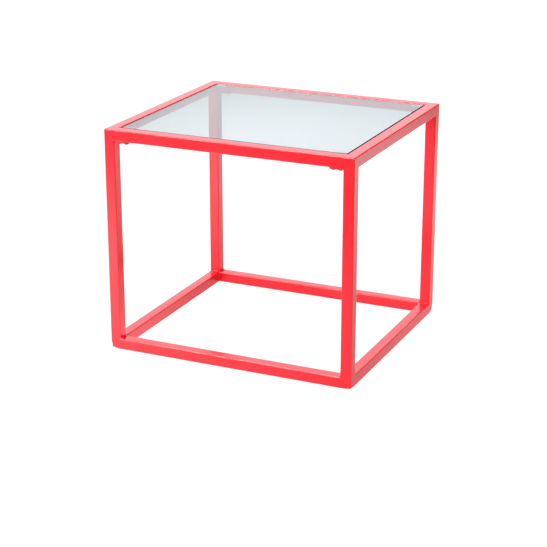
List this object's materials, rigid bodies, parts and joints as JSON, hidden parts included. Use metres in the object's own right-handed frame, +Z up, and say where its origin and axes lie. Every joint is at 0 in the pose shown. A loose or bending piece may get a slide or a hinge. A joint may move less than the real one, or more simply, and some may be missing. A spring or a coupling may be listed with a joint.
{
  "type": "side table",
  "caption": "Low side table: a welded cube frame of square steel tube, painted red, with a loose pane of tinted glass let in flush at the top on screwed corner brackets.",
  "frame": {"origin": "on the floor under the middle of the table", "axes": "+Z up, the front is at -Y, +X to the right along the longer side"},
  "size_m": [0.51, 0.46, 0.4465],
  "materials": {
    "frame_paint": "semi-gloss red paint",
    "bracket_paint": "semi-gloss red paint",
    "screws": "dark screws",
    "pads": "clear grey silicone",
    "glass": "clear, faint blue-grey tint, polished",
    "glides": "translucent white plastic"
  },
  "bodies": {
    "frame": {"top_rail_front": "frame_paint", "top_rail_back": "frame_paint", "top_rail_left": "frame_paint", "top_rail_right": "frame_paint", "bottom_rail_front": "frame_paint", "bottom_rail_back": "frame_paint", "bottom_rail_left": "frame_paint", "bottom_rail_right": "frame_paint", "leg_front_left": "frame_paint", "leg_front_right": "frame_paint", "leg_back_left": "frame_paint", "leg_back_right": "frame_paint", "glass_bracket_front_left": "bracket_paint", "glass_bracket_front_right": "bracket_paint", "glass_bracket_back_left": "bracket_paint", "glass_bracket_back_right": "bracket_paint", "bracket_screws": "screws", "glass_pad_front_left": "pads", "glass_pad_front_right": "pads", "glass_pad_back_left": "pads", "glass_pad_back_right": "pads", "glide_front_left": "glides", "glide_front_right": "glides", "glide_back_left": "glides", "glide_back_right": "glides"},
    "glass": {"glass_top": "glass"}
  },
  "joints": [
    {"name": "glass_lift", "type": "slide", "parent": "frame", "child": "glass", "axis": [0, 0, 1], "range_m": [0, 0.06]}
  ]
}
